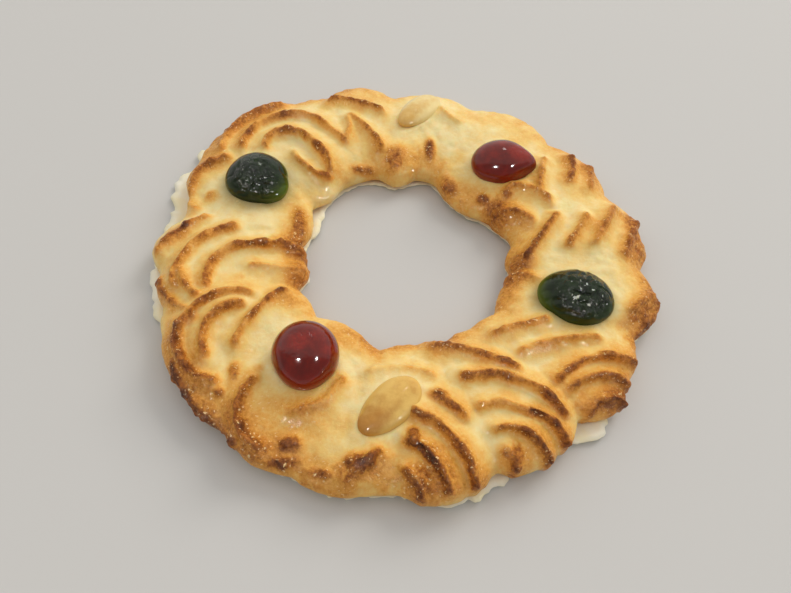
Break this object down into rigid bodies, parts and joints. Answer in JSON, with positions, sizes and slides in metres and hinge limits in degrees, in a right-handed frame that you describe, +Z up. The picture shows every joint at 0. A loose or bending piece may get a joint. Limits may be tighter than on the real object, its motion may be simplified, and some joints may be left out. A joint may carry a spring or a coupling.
{
  "type": "piped butter cookie wreath",
  "caption": "Flat wreath of piped, toasted cookie dough on torn edible wafer paper, with glossy candied cherries and blanched almonds pressed into the top.",
  "frame": {"origin": "middle of the footprint, at the height of the surface the wreath lies on", "axes": "+Z up through the hole, -Y toward the side with the round red cherry and the front almond, +X to the right of that side"},
  "size_m": [0.1654, 0.1678, 0.0239],
  "materials": {
    "baked_dough": "baked cookie dough, pale yellow in the valleys and toasted brown on the ridges, thinly glazed",
    "wafer_paper": "dry matte edible wafer paper with torn edges",
    "red_cherry": "wet glossy translucent candied cherry",
    "green_cherry": "wet glossy dark green candied cherry with a wrinkled top",
    "glazed_almond": "blanched almond, lightly toasted and glazed"
  },
  "bodies": {
    "root": {"wreath_dough": "baked_dough", "wafer_paper": "wafer_paper", "cherry_red_front": "red_cherry", "cherry_red_back": "red_cherry", "cherry_green_left": "green_cherry", "cherry_green_right": "green_cherry", "almond_front": "glazed_almond", "almond_back": "glazed_almond"}
  },
  "joints": []
}
